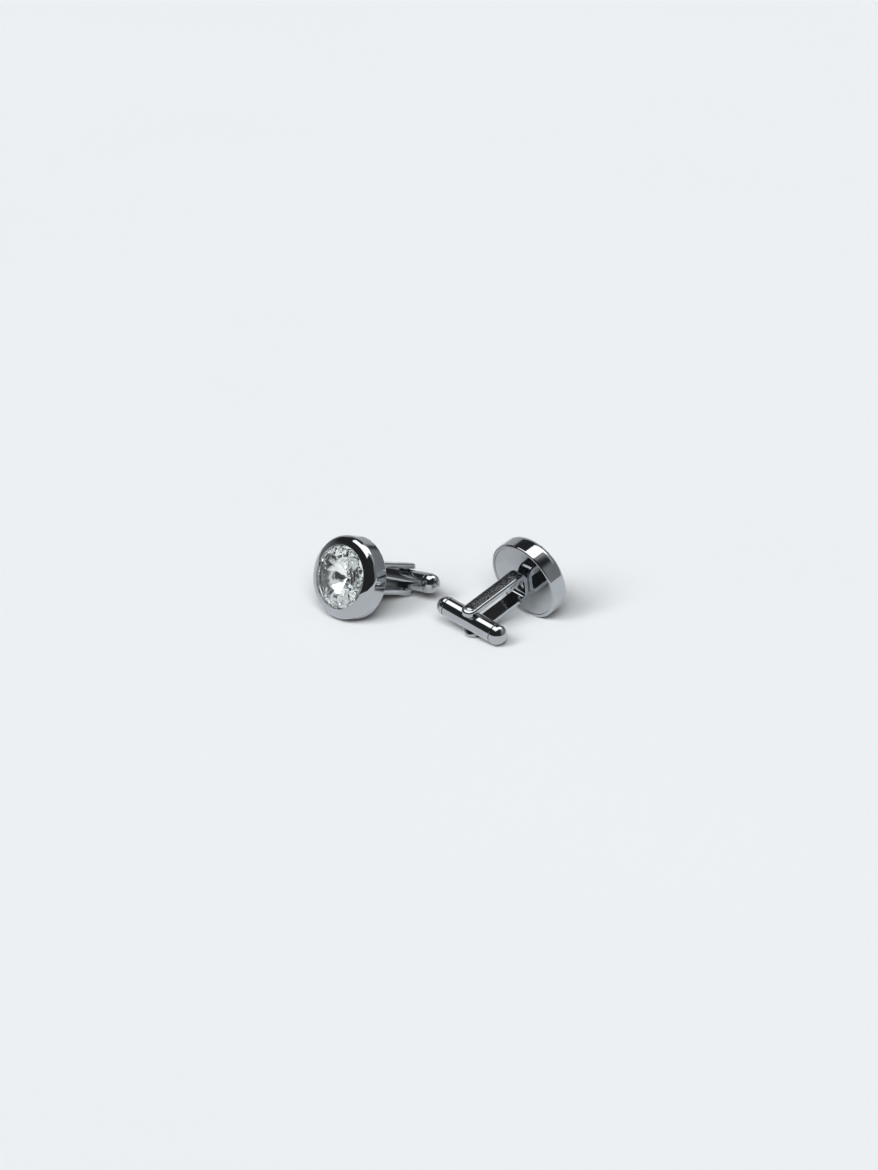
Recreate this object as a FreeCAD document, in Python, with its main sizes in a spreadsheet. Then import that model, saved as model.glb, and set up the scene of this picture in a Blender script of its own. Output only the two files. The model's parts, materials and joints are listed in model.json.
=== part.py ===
import FreeCAD, Part
import Sketcher
import math
import os

# A pair of round cufflinks: a pointed crystal in a rounded bezel, with a bullet toggle that turns on a
# pin across the arms of a strap fork.
#
# One cufflink is drawn about the middle of its back plate: Z runs out of the back towards the toggle,
# X lies along the toggle when it is crosswise, and Y lies along the pin that it turns on.
# Each cufflink then lies on the ground on the edge of its face and its pin's head.
# In the finished pair +Z is up, the ground is Z = 0 and the origin is the middle of the pair's outline.

# Driving sizes in millimetres, angles in degrees.
SIZES = {
    # Face: a turned bezel with a plate pressed into its back.
    "bezel_land": 0.35,
    "bezel_round": 1.55,
    "rim_width": 0.7,
    "rim_proud": 0.1,
    "rim_round": 0.35,
    "plate_thickness": 0.8,
    # Crystal: pointed front and back, with a thin straight edge and a little air behind its back point.
    "crystal_diameter": 12.0,
    "crystal_inset": 0.1,
    "crystal_gap": 0.05,
    "crystal_air": 0.2,
    "crown_height": 1.8,
    "edge_height": 0.5,
    "pavilion_depth": 2.6,
    "point_flat": 0.03,
    "facet_count": 16,
    "break_length": 1.6,
    "break_drop": 0.18,
    "seat_width": 2.0,
    # Fork: a strap bent into a U, with round tips a little beyond the pin.
    "pivot_reach": 14.0,
    "tip_reach": 1.7,
    "strap_width": 3.05,
    "strap_thickness": 1.0,
    "bend_inside": 0.85,
    "strap_round": 0.45,
    "arm_clearance": 0.15,
    # Rivet that holds the fork to the plate. Its head fills the flat between the bends but for a gap.
    "rivet_gap": 0.1,
    "rivet_ledge": 0.3,
    "rivet_head_height": 0.5,
    "rivet_flare": 0.4,
    # Pin across the fork: a domed head under one arm, a flush end in the other and a square middle.
    "pin_diameter": 1.4,
    "pin_head_ledge": 0.65,
    "pin_head_height": 0.45,
    "pin_end_rise": 0.05,
    "pin_clearance": 0.05,
    "cam_flat": 0.2,
    # Toggle: a tube with a domed cap at each end, wide enough for the bowed leaf spring inside it.
    "toggle_length": 16.7,
    "barrel_wall": 0.6,
    "cap_band": 0.375,
    "spigot_length": 1.0,
    "seam_chamfer": 0.1,
    "spring_room": 0.55,
    "spring_width": 1.5,
    "spring_thickness": 0.2,
    "spring_bow": 0.39,
    # How the pair lies: the left post's heading, how far the right one is off lying opposite to it,
    # how far each rolls about its post, and the step from the left face to the right one.
    "left_heading": 46.0,
    "right_toe": -2.55,
    "left_roll": 7.0,
    "right_roll": 9.5,
    "pair_spacing": 31.52,
    "pair_stagger": -2.02,
}

doc = FreeCAD.newDocument("cufflinks")
sheet = doc.addObject("Spreadsheet::Sheet", "sizes")
for row, (alias, number) in enumerate(SIZES.items(), start=1):
    sheet.set(f"A{row}", str(number))
    sheet.setAlias(f"A{row}", alias)
doc.recompute()


class Size:
    """A size that keeps its number together with the sheet formula that gives it."""

    def __init__(self, value, formula):
        self.value = float(value)
        self.formula = formula

    def __add__(self, other):
        other = as_size(other)
        return Size(self.value + other.value, f"({self.formula} + {other.formula})")

    def __sub__(self, other):
        other = as_size(other)
        return Size(self.value - other.value, f"({self.formula} - {other.formula})")

    def __mul__(self, other):
        other = as_size(other)
        return Size(self.value * other.value, f"({self.formula} * {other.formula})")

    def __truediv__(self, other):
        other = as_size(other)
        return Size(self.value / other.value, f"({self.formula} / {other.formula})")

    def __neg__(self):
        return Size(-self.value, f"(-1 * {self.formula})")

    def root(self):
        return Size(math.sqrt(self.value), f"sqrt({self.formula})")

    def cosine(self):
        return Size(math.cos(math.radians(self.value)), f"cos({self.formula})")


def as_size(number):
    return number if isinstance(number, Size) else Size(number, str(number))


def size(alias):
    return Size(sheet.get(alias), f"sizes.{alias}")


# Angles, how near counts as touching, the least that a cut must take away, the finest step in seeking the
# rest pose, and the length of a cut that goes right through, in half thicknesses of what it goes through.
ZERO = as_size(0)
FULL_TURN = 360
HALF_TURN = FULL_TURN / 2
QUARTER_TURN = FULL_TURN / 4
STEEPEST_TILT = math.radians(FULL_TURN / 8)
TOUCHING = 1e-6
LEAST_CUT = 1e-4
FINEST_STEP = 1e-9
CUT_SPAN = 4

# Sizes that several pieces share. The face is as deep as what lies behind its front, and as wide as the
# crystal with the ring round it.
plate_inside = -size("plate_thickness")
crystal_radius = size("crystal_diameter") / 2
crystal_back = plate_inside - size("crystal_air")
edge_back = crystal_back - size("pavilion_depth")
edge_front = edge_back - size("edge_height")
mouth_radius = crystal_radius + size("crystal_gap")
face_radius = mouth_radius + size("bezel_land") + size("bezel_round")
plate_radius = face_radius - size("rim_width")
half_facet = as_size(HALF_TURN) / size("facet_count")
ridge_share = half_facet.cosine()

# The tube is as wide as the spring needs, whose middle bears on the pin and whose ends bear on the tube.
pin_radius = size("pin_diameter") / 2
pin_head_radius = pin_radius + size("pin_head_ledge")
cam_half = pin_radius - size("cam_flat")
spring_half_width = size("spring_width") / 2
spring_middle = cam_half + size("spring_thickness")
spring_end = spring_middle + size("spring_bow")
bore_radius = (spring_end * spring_end + spring_half_width * spring_half_width).root()
toggle_radius = bore_radius + size("barrel_wall")
cap_length = toggle_radius + size("cap_band")
toggle_half = size("toggle_length") / 2
barrel_half = toggle_half - cap_length
spigot_end = barrel_half - size("spigot_length")

# The fork straddles the tube, and the rivet's head lies on the flat between the strap's bends.
strap_half = size("strap_width") / 2
arm_inside = toggle_radius + size("arm_clearance")
arm_outside = arm_inside + size("strap_thickness")
arm_tip = size("pivot_reach") + size("tip_reach")
tip_middle = arm_tip - strap_half
web_half = arm_inside - size("bend_inside")
rivet_head_radius = web_half - size("rivet_gap")
rivet_radius = rivet_head_radius - size("rivet_ledge")


def dome_radius(half_width, rise):
    """Radius of the ball that a shallow dome is cut from."""
    return (half_width * half_width + rise * rise) / (rise * 2)


# Helpers that draw sketches and features

def new_body(name):
    body = doc.addObject("PartDesign::Body", name)
    body.Label = name
    return body


def origin_part(body, role):
    return next(part for part in body.Origin.OriginFeatures if part.Role == role)


def new_sketch(body, plane):
    sketch = body.newObject("Sketcher::SketchObject", "sketch")
    sketch.AttachmentSupport = [(origin_part(body, plane), "")]
    sketch.MapMode = "FlatFace"
    return sketch


def arc_through(start, end, radius):
    """The arc that turns left from start to end, up to half a circle."""
    chord = end - start
    rise = math.sqrt(max(radius ** 2 - chord.Length ** 2 / 4, 0.0))
    left = FreeCAD.Vector(-chord.y, chord.x, 0).normalize()
    centre = (start + end) * 0.5 + left * rise
    first = math.atan2(start.y - centre.y, start.x - centre.x)
    last = math.atan2(end.y - centre.y, end.x - centre.x)
    if last < first:
        last += 2 * math.pi
    circle = Part.Circle(centre, FreeCAD.Vector(0, 0, 1), radius)
    return Part.ArcOfCircle(circle, first, last)


def fix_point(sketch, edge, end, across, up):
    """Ties one end of an edge to its place in the sketch."""
    for kind, axis, place in (("DistanceX", -2, across), ("DistanceY", -1, up)):
        if place is ZERO:
            sketch.addConstraint(Sketcher.Constraint("PointOnObject", edge, end, axis))
        else:
            rule = sketch.addConstraint(Sketcher.Constraint(kind, -1, 1, edge, end, place.value))
            sketch.setExpression(f"Constraints[{rule}]", place.formula)


def outline(body, plane, points):
    """A closed sketch. A point is (across, up) at the end of a straight edge, or (across, up, radius)
    at the end of an arc that turns left, or (across, up, radius, "right") where it turns right."""
    sketch = new_sketch(body, plane)
    places = [FreeCAD.Vector(point[0].value, point[1].value, 0) for point in points]
    ends = []
    for index, point in enumerate(points):
        before = places[index - 1]
        here = places[index]
        if len(point) == 2:
            edge = sketch.addGeometry(Part.LineSegment(before, here), False)
            ends.append((edge, 1, 2))
        elif len(point) == 3:
            edge = sketch.addGeometry(arc_through(before, here, point[2].value), False)
            ends.append((edge, 1, 2))
        else:
            edge = sketch.addGeometry(arc_through(here, before, point[2].value), False)
            ends.append((edge, 2, 1))
    for index, (edge, start, end) in enumerate(ends):
        last_edge, _, last_end = ends[index - 1]
        sketch.addConstraint(Sketcher.Constraint("Coincident", last_edge, last_end, edge, start))
    for (edge, start, end), point in zip(ends, points):
        fix_point(sketch, edge, end, point[0], point[1])
        if len(point) > 2:
            rule = sketch.addConstraint(Sketcher.Constraint("Radius", edge, point[2].value))
            sketch.setExpression(f"Constraints[{rule}]", point[2].formula)
    return sketch


def add_circle(sketch, across, up, radius):
    centre = FreeCAD.Vector(across.value, up.value, 0)
    edge = sketch.addGeometry(Part.Circle(centre, FreeCAD.Vector(0, 0, 1), radius.value), False)
    fix_point(sketch, edge, 3, across, up)
    rule = sketch.addConstraint(Sketcher.Constraint("Radius", edge, radius.value))
    sketch.setExpression(f"Constraints[{rule}]", radius.formula)


def turn(body, sketch, axis):
    """A turned solid about the sketch's own H_Axis or V_Axis."""
    feature = body.newObject("PartDesign::Revolution", "turned")
    feature.Profile = sketch
    feature.ReferenceAxis = (sketch, [axis])
    feature.Angle = FULL_TURN
    return feature


def pad_both_ways(body, sketch, length):
    feature = body.newObject("PartDesign::Pad", "pad")
    feature.Profile = sketch
    feature.SideType = "Symmetric"
    feature.setExpression("Length", length.formula)
    return feature


def cut_both_ways(body, sketch, length):
    feature = body.newObject("PartDesign::Pocket", "cut")
    feature.Profile = sketch
    feature.SideType = "Symmetric"
    feature.setExpression("Length", length.formula)
    return feature


def repeat_round(body, feature, count):
    pattern = body.newObject("PartDesign::PolarPattern", "ring")
    pattern.Originals = [feature]
    pattern.Axis = (origin_part(body, "Z_Axis"), [""])
    pattern.Angle = FULL_TURN
    pattern.setExpression("Occurrences", count.formula)
    body.Tip = pattern
    return pattern


def round_edges(body, feature, edges, radius):
    names = [f"Edge{number}" for number, edge in enumerate(feature.Shape.Edges, start=1) if edges(edge)]
    rounded = body.newObject("PartDesign::Fillet", "rounded")
    rounded.Base = (feature, names)
    rounded.setExpression("Radius", radius.formula)
    return rounded


# The pieces of one cufflink

def make_bezel(name):
    """Turned ring: a rounded front, a cone that the crystal sits in and a counterbore for the plate."""
    body = new_body(name)
    front = edge_front - size("crystal_inset")
    ridge_slope = size("pavilion_depth") * ridge_share / crystal_radius
    seat_inside = crystal_radius - size("seat_width")
    seat_foot = edge_back + (crystal_radius / ridge_share - seat_inside) * ridge_slope
    mouth_foot = edge_back + (crystal_radius / ridge_share - mouth_radius) * ridge_slope
    points = [
        (plate_radius, size("rim_proud")),
        (plate_radius, plate_inside),
        (seat_inside, plate_inside),
        (seat_inside, seat_foot),
        (mouth_radius, mouth_foot),
        (mouth_radius, front),
        (face_radius - size("bezel_round"), front),
        (face_radius, front + size("bezel_round"), size("bezel_round")),
        (face_radius, size("rim_proud") - size("rim_round")),
        (face_radius - size("rim_round"), size("rim_proud"), size("rim_round")),
    ]
    turn(body, outline(body, "XZ_Plane", points), "V_Axis")
    return body


def make_back_plate(name):
    """Flat disc that closes the back, with a flared hole for the rivet."""
    body = new_body(name)
    points = [
        (rivet_radius, ZERO),
        (rivet_radius, plate_inside + size("rivet_flare")),
        (rivet_radius + size("rivet_flare"), plate_inside),
        (plate_radius, plate_inside),
        (plate_radius, -size("seam_chamfer")),
        (plate_radius - size("seam_chamfer"), ZERO),
    ]
    turn(body, outline(body, "XZ_Plane", points), "V_Axis")
    return body


def cut_facets(body, points, half_step):
    """One ring of flat facets, each a wide straight cut along the line between two points (out, up)."""
    sketch = outline(body, "XZ_Plane", points)
    if half_step:
        sketch.setExpression("AttachmentOffset.Rotation.Angle", half_facet.formula)
        half_turned = FreeCAD.Rotation(FreeCAD.Vector(0, 1, 0), half_facet.value)
        sketch.AttachmentOffset = FreeCAD.Placement(FreeCAD.Vector(), half_turned)
    cut = cut_both_ways(body, sketch, size("crystal_diameter") * 2)
    repeat_round(body, cut, size("facet_count"))


def make_crystal(name):
    """Pointed both ways: long facets that meet at each point, and short ones that break their ridges."""
    body = new_body(name)
    crystal_tip = edge_front - size("crown_height")
    rough = [
        (ZERO, crystal_back - size("point_flat")),
        (ZERO, crystal_tip + size("point_flat")),
        (crystal_radius, crystal_tip + size("point_flat")),
        (crystal_radius, crystal_back - size("point_flat")),
    ]
    turn(body, outline(body, "XZ_Plane", rough), "V_Axis")
    clear = size("crystal_diameter")
    for height, edge, way in (
        (size("crown_height"), edge_front, -1),
        (size("pavilion_depth"), edge_back, 1),
    ):
        point = edge + height * way
        beyond = point + clear * way
        slope = height / crystal_radius * way
        inner = crystal_radius - size("break_length")
        inner_height = point - inner * ridge_share * slope
        outer_height = edge - size("break_drop") * way
        break_slope = (inner_height - outer_height) / size("break_length")
        long_facet = [(ZERO, beyond), (ZERO, point), (clear, point - clear * slope), (clear, beyond)]
        cut_facets(body, long_facet, False)
        top = inner_height + inner * break_slope
        short_facet = [(ZERO, beyond), (ZERO, top), (clear, top - clear * break_slope), (clear, beyond)]
        cut_facets(body, short_facet, True)
    return body


def make_fork(name):
    """Strap bent into a U that stands on the plate, round at the tips, with its outer edges eased."""
    body = new_body(name)
    web = size("strap_thickness")
    inner_bend = size("bend_inside")
    bend = inner_bend + web
    strap = pad_both_ways(body, outline(body, "YZ_Plane", [
        (arm_outside, arm_tip),
        (arm_inside, arm_tip),
        (arm_inside, web + inner_bend),
        (web_half, web, inner_bend, "right"),
        (-web_half, web),
        (-arm_inside, web + inner_bend, inner_bend, "right"),
        (-arm_inside, arm_tip),
        (-arm_outside, arm_tip),
        (-arm_outside, bend),
        (-web_half, ZERO, bend),
        (web_half, ZERO),
        (arm_outside, bend, bend),
    ]), size("strap_width"))
    past_side = size("strap_width")
    past_tip = arm_tip + strap_half
    span = arm_outside * CUT_SPAN
    tips = cut_both_ways(body, outline(body, "XZ_Plane", [
        (strap_half, tip_middle, strap_half, "right"),
        (past_side, tip_middle),
        (past_side, past_tip),
        (-past_side, past_tip),
        (-past_side, tip_middle),
        (-strap_half, tip_middle),
        (ZERO, arm_tip, strap_half, "right"),
    ]), span)
    doc.recompute()
    require_cut(strap, tips)

    def on_outer_side(edge):
        middle = edge.valueAt((edge.FirstParameter + edge.LastParameter) / 2)
        if abs(middle.x) < strap_half.value - TOUCHING and middle.z < tip_middle.value:
            return False
        if middle.z > bend.value:
            return abs(middle.y) > arm_outside.value - TOUCHING
        corner = max(abs(middle.y) - web_half.value, 0.0)
        return math.hypot(corner, bend.value - middle.z) > bend.value - TOUCHING

    rounded = round_edges(body, tips, on_outer_side, size("strap_round"))
    pin_holes = new_sketch(body, "XZ_Plane")
    add_circle(pin_holes, ZERO, size("pivot_reach"), pin_radius)
    drilled = cut_both_ways(body, pin_holes, span)
    rivet_hole = new_sketch(body, "XY_Plane")
    add_circle(rivet_hole, ZERO, ZERO, rivet_radius)
    pierced = cut_both_ways(body, rivet_hole, web * CUT_SPAN)
    doc.recompute()
    require_cut(rounded, drilled)
    require_cut(drilled, pierced)
    return body


def make_post_rivet(name):
    """Domed head inside the fork, a shank through strap and plate, and a foot flared into the plate."""
    body = new_body(name)
    seat = size("strap_thickness")
    rise = size("rivet_head_height")
    points = [
        (ZERO, plate_inside),
        (rivet_radius + size("rivet_flare"), plate_inside),
        (rivet_radius, plate_inside + size("rivet_flare")),
        (rivet_radius, seat),
        (rivet_head_radius, seat),
        (ZERO, seat + rise, dome_radius(rivet_head_radius, rise)),
    ]
    turn(body, outline(body, "XZ_Plane", points), "V_Axis")
    return body


def make_pivot_pin(name):
    """Round in the arms, square in the middle so that the spring clicks at each quarter turn."""
    body = new_body(name)
    head = size("pin_head_height")
    rise = size("pin_end_rise")
    points = [
        (ZERO, -arm_outside - head),
        (pin_head_radius, -arm_outside, dome_radius(pin_head_radius, head)),
        (pin_radius, -arm_outside),
        (pin_radius, arm_outside),
        (ZERO, arm_outside + rise, dome_radius(pin_radius, rise)),
    ]
    shank = turn(body, outline(body, "XY_Plane", points), "V_Axis")
    corners = [(cam_half, cam_half), (-cam_half, cam_half), (-cam_half, -cam_half), (cam_half, -cam_half)]
    flats = outline(body, "XZ_Plane", corners)
    add_circle(flats, ZERO, ZERO, size("pin_diameter"))
    squared = cut_both_ways(body, flats, (bore_radius - size("pin_clearance")) * 2)
    doc.recompute()
    require_cut(shank, squared)
    return body


def make_barrel(name):
    """Tube with a cross hole for the pin and its end edges broken where the caps meet it."""
    body = new_body(name)
    edge = size("seam_chamfer")
    points = [
        (barrel_half, bore_radius),
        (barrel_half, toggle_radius - edge),
        (barrel_half - edge, toggle_radius),
        (edge - barrel_half, toggle_radius),
        (-barrel_half, toggle_radius - edge),
        (-barrel_half, bore_radius),
    ]
    tube = turn(body, outline(body, "XY_Plane", points), "H_Axis")
    pin_hole = new_sketch(body, "XZ_Plane")
    add_circle(pin_hole, ZERO, ZERO, pin_radius + size("pin_clearance"))
    drilled = cut_both_ways(body, pin_hole, toggle_radius * CUT_SPAN)
    doc.recompute()
    require_cut(tube, drilled)
    return body


def make_end_cap(name):
    """Domed plug: a half ball on a short band, with a spigot pressed into the tube."""
    body = new_body(name)
    edge = size("seam_chamfer")
    points = [
        (spigot_end, ZERO),
        (toggle_half, ZERO),
        (barrel_half + size("cap_band"), toggle_radius, toggle_radius),
        (barrel_half + edge, toggle_radius),
        (barrel_half, toggle_radius - edge),
        (barrel_half, bore_radius),
        (spigot_end, bore_radius),
    ]
    turn(body, outline(body, "XY_Plane", points), "H_Axis")
    return body


def make_click_spring(name):
    """Bowed leaf: its middle bears on a flat of the pin and its ends on the wall of the tube."""
    body = new_body(name)
    half_length = spigot_end - size("spring_room")
    bow = size("spring_bow")
    bend = dome_radius(half_length, bow)
    points = [
        (half_length, spring_end),
        (ZERO, spring_middle, bend, "right"),
        (-half_length, spring_end, bend, "right"),
        (-half_length, cam_half + bow),
        (ZERO, cam_half, bend),
        (half_length, cam_half + bow, bend),
    ]
    pad_both_ways(body, outline(body, "XZ_Plane", points), size("spring_width"))
    return body


def require_cut(before, after):
    """Stops the build where a cut has taken nothing away."""
    if after.Shape.Volume >= before.Shape.Volume - LEAST_CUT:
        raise RuntimeError(f"{after.Name} in {after.getParent().Label} cuts nothing")


# How a cufflink lies on the ground

def rest_angles(most_roll):
    """Tilt of the post that brings rim and fork down to one plane, with the roll about the post and the
    height of the plate. The roll is the most that is asked for and that the toggle's lower end allows."""
    rim = size("rim_round").value
    reach = size("pivot_reach").value
    beyond = tip_middle.value - reach
    eased = size("strap_round").value
    head = size("pin_head_height").value
    dome = dome_radius(pin_head_radius, size("pin_head_height")).value
    ball = toggle_radius.value
    ball_reach = toggle_half.value - ball

    def pivot_height(tilt):
        middle = (face_radius.value - rim) * math.cos(tilt) + rim
        middle += (size("rim_proud").value - rim) * math.sin(tilt)
        return middle - reach * math.sin(tilt)

    def roll_at(tilt):
        lift = (pivot_height(tilt) - ball) / (ball_reach * math.cos(tilt))
        return min(math.radians(most_roll), math.asin(min(max(lift, 0.0), 1.0)))

    def fork_height(tilt):
        """Height of the pin when the lower arm's tip, or the pin's head under it, meets the ground."""
        upright = math.cos(roll_at(tilt)) * math.cos(tilt)
        lean = math.sqrt(1 - upright ** 2)
        tip = (strap_half.value - eased) * lean + beyond * math.sin(tilt)
        arm = (arm_outside.value - eased) * upright + tip + eased
        brim = arm_outside.value * upright + pin_head_radius.value * lean
        if lean * dome < pin_head_radius.value:
            brim = (arm_outside.value + head - dome) * upright + dome
        return max(arm, brim)

    low = 0.0
    high = STEEPEST_TILT
    while high - low > FINEST_STEP:
        tilt = (low + high) / 2
        if pivot_height(tilt) > fork_height(tilt):
            low = tilt
        else:
            high = tilt
    height = pivot_height(low) + reach * math.sin(low)
    return low, roll_at(low), height


def lie_down(heading, most_roll, across, along):
    """Placement of a cufflink that lies with its post along the heading."""
    tilt, roll, height = rest_angles(most_roll)
    rolled = FreeCAD.Rotation(FreeCAD.Vector(0, 0, 1), -math.degrees(roll))
    dipped = FreeCAD.Rotation(FreeCAD.Vector(0, 1, 0), QUARTER_TURN + math.degrees(tilt))
    quarter = FreeCAD.Rotation(FreeCAD.Vector(0, 0, 1), QUARTER_TURN)
    headed = FreeCAD.Rotation(FreeCAD.Vector(0, 0, 1), heading)
    return FreeCAD.Placement(FreeCAD.Vector(across, along, height), headed * dipped * quarter * rolled)


def make_cufflink(side, placement):
    """All the pieces of one cufflink, placed. The toggle's pieces are drawn about the pin."""
    reach = FreeCAD.Vector(0, 0, size("pivot_reach").value)
    pivot = placement * FreeCAD.Placement(reach, FreeCAD.Rotation())
    turned = pivot * FreeCAD.Placement(FreeCAD.Vector(), FreeCAD.Vector(0, 0, 1), HALF_TURN)
    pieces = {
        make_bezel(f"{side}_bezel"): placement,
        make_crystal(f"{side}_crystal"): placement,
        make_back_plate(f"{side}_back_plate"): placement,
        make_fork(f"{side}_fork"): placement,
        make_post_rivet(f"{side}_post_rivet"): placement,
        make_pivot_pin(f"{side}_pivot_pin"): pivot,
        make_barrel(f"{side}_toggle_barrel"): pivot,
        make_end_cap(f"{side}_end_cap_1"): pivot,
        make_end_cap(f"{side}_end_cap_2"): turned,
        make_click_spring(f"{side}_click_spring"): pivot,
    }
    for body, place in pieces.items():
        body.Placement = place
    return list(pieces)


def centre_on_ground(bodies):
    """Moves the pair so that the middle of its outline is over the origin and its lowest point at Z = 0."""
    box = FreeCAD.BoundBox()
    for body in bodies:
        box.add(body.Shape.optimalBoundingBox(False, False))
    shift = FreeCAD.Vector(-box.Center.x, -box.Center.y, -box.ZMin)
    for body in bodies:
        body.Placement = FreeCAD.Placement(shift, FreeCAD.Rotation()) * body.Placement
    print("pair shifted by", [round(value, 4) for value in shift])


def check(bodies):
    for item in doc.Objects:
        if "Invalid" in item.State or "Error" in item.State:
            raise RuntimeError(f"{item.Label} did not build: {item.State}")
    for body in bodies:
        if body.Shape.isNull() or not body.Shape.isValid() or len(body.Shape.Solids) != 1:
            raise RuntimeError(f"{body.Label} is not one sound solid")


half_spacing = size("pair_spacing").value / 2
half_stagger = size("pair_stagger").value / 2
left_heading = size("left_heading").value
right_heading = left_heading + HALF_TURN + size("right_toe").value
left_roll = size("left_roll").value
right_roll = size("right_roll").value
left = lie_down(left_heading, left_roll, -half_spacing, -half_stagger)
right = lie_down(right_heading, right_roll, half_spacing, half_stagger)
pieces = make_cufflink("left", left) + make_cufflink("right", right)
doc.recompute()
check(pieces)
centre_on_ground(pieces)
doc.recompute()
check(pieces)

os.makedirs("parts", exist_ok=True)
for body in pieces:
    body.Shape.exportStep(f"parts/{body.Label}.step")
for most_roll in (left_roll, right_roll):
    print("tilt, roll, height", [round(value, 5) for value in rest_angles(most_roll)])
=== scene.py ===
import json
import math

import bmesh
import bpy
from mathutils import Matrix, Vector


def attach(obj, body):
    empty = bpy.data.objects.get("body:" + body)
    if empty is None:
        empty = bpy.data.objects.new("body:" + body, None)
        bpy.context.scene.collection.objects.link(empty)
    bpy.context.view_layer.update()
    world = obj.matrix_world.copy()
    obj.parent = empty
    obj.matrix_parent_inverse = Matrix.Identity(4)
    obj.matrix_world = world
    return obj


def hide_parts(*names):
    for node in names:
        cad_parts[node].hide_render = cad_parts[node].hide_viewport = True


# A pair of polished cufflinks with pointed crystals on a pale table, under a studio's overhead lamps.
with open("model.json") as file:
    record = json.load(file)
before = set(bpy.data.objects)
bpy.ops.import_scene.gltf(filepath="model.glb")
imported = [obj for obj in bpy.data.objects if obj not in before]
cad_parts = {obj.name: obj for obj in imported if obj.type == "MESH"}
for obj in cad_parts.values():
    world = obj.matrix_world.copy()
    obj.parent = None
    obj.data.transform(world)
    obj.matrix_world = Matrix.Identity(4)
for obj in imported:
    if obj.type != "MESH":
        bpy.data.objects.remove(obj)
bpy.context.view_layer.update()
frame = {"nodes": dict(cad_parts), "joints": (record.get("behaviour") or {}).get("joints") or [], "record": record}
scene = bpy.context.scene
scene.view_settings.view_transform = "Standard"

# Light is thrown to and fro many times inside a crystal.
scene.cycles.max_bounces = 24
scene.cycles.glossy_bounces = 16

# Light that the metal would throw back onto the table is left out, which keeps the shadows there plain.
scene.cycles.caustics_reflective = False

# Sizes in millimetres. Each cufflink has its own frame: the origin is the middle of the back plate's outer
# face, the third axis is the post towards the toggle, the first lies along the toggle and the second along
# the pin.
MM = 0.001

# Crystal
CRYSTAL_RADIUS = 6.0
FACET_COUNT = 16
CROWN_HEIGHT = 1.8
EDGE_FRONT = -4.1
EDGE_BACK = -3.6
PAVILION_DEPTH = 2.6
BREAK_LENGTH = 1.6
BREAK_DROP = 0.18
POINT_FLAT = 0.03

# Bezel and back plate
MOUTH_RADIUS = 6.05
MOUTH_FOOT = -3.57
SEAT_RADIUS = 4.0
SEAT_FOOT = -2.7
BEZEL_FRONT = -4.2
LIP_TILT = math.radians(11)
LIP_END = math.radians(30)
BEZEL_ROUND = 1.55
FACE_RADIUS = 7.945
RIM_PROUD = 0.1
RIM_ROUND = 0.35
PLATE_RADIUS = 7.25
PLATE_INSIDE = -0.8

# Fork
PIVOT_REACH = 14.0
TIP_REACH = 1.7
STRAP_HALF = 1.525
STRAP_THICKNESS = 1.0
STRAP_ROUND = 0.45
CROWN_TILT = math.radians(6)
WEB_HALF = 1.2231
BEND_OUTSIDE = 1.85
ARM_OUTSIDE = WEB_HALF + BEND_OUTSIDE

# Rivet and pin
RIVET_RADIUS = 0.8231
RIVET_HEAD = 1.1231
RIVET_FLARE = 0.4
RIVET_RISE = 0.5
PIN_RADIUS = 0.7
PIN_HEAD = 1.35
PIN_HEAD_RISE = 0.445
PIN_END_RISE = 0.05
PIN_CLEARANCE = 0.05
CAM_HALF = 0.5

# Toggle
BORE_RADIUS = 1.3231
TOGGLE_RADIUS = 1.92
TOGGLE_HALF = 8.345
BARREL_HALF = 6.0519
SEAM_GAP = 0.15
SPIGOT_END = 5.0519

# Roundings that a polisher leaves: on open edges, on edges where two pieces meet, on hidden corners and
# where two pieces were polished flush.
SOFT_EDGE = 0.08
SEAM_EDGE = 0.08
HIDDEN_EDGE = 0.03
FLUSH_EDGE = 0.006

# Fineness of the meshes: the widest step along an arc, how much finer the bezel's front is, the steps round a
# turned piece, the strap's steps, and how near two points are when they count as one.
ARC_STEP = math.radians(6)
BEZEL_FINENESS = 2
WIDE_ROUND = 192
SLIM_ROUND = 96
EDGE_STEPS = 8
TIP_STEPS = 36
BEND_STEPS = 24
TINY = 1e-5
WELD = 0.002

# A face of the drilled barrel takes a round surface's normal unless its own fits better by more than this.
FLAT_HANDICAP = 0.02


# Mesh helpers

def right_of(step):
    return Vector((step.y, -step.x))


def band(low, high):
    """Faces between two rings with the same number of points."""
    count = len(low)
    faces = []
    for step in range(count):
        onward = (step + 1) % count
        faces.append([low[step], low[onward], high[onward], high[step]])
    return faces


def soften(corners, closed):
    """Turns corners (distance from the axis, place along it, rounding) into points with outward normals."""
    places = [Vector(corner[:2]) for corner in corners]
    last = len(corners) - 1
    line = []
    for index, corner in enumerate(corners):
        here = places[index]
        rounding = corner[2]
        if not closed and index in (0, last):
            line.append((here, Vector((0, 1 if index else -1))))
            continue
        come = (here - places[index - 1]).normalized()
        go = (places[(index + 1) % len(places)] - here).normalized()
        if not rounding:
            line.append((here, right_of((come + go).normalized())))
            continue
        turn = math.atan2(come.x * go.y - come.y * go.x, come.dot(go))
        side = math.copysign(1, turn)
        outward = right_of(come)
        start = here - come * rounding * math.tan(abs(turn) / 2)
        centre = start - outward * rounding * side
        steps = max(2, math.ceil(abs(turn) / ARC_STEP))
        for step in range(steps + 1):
            normal = Matrix.Rotation(turn * step / steps, 2) @ outward
            line.append((centre + normal * rounding * side, normal))
    kept = line[:1]
    for point in line[1:]:
        if (point[0] - kept[-1][0]).length > TINY:
            kept.append(point)
    return kept


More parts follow.
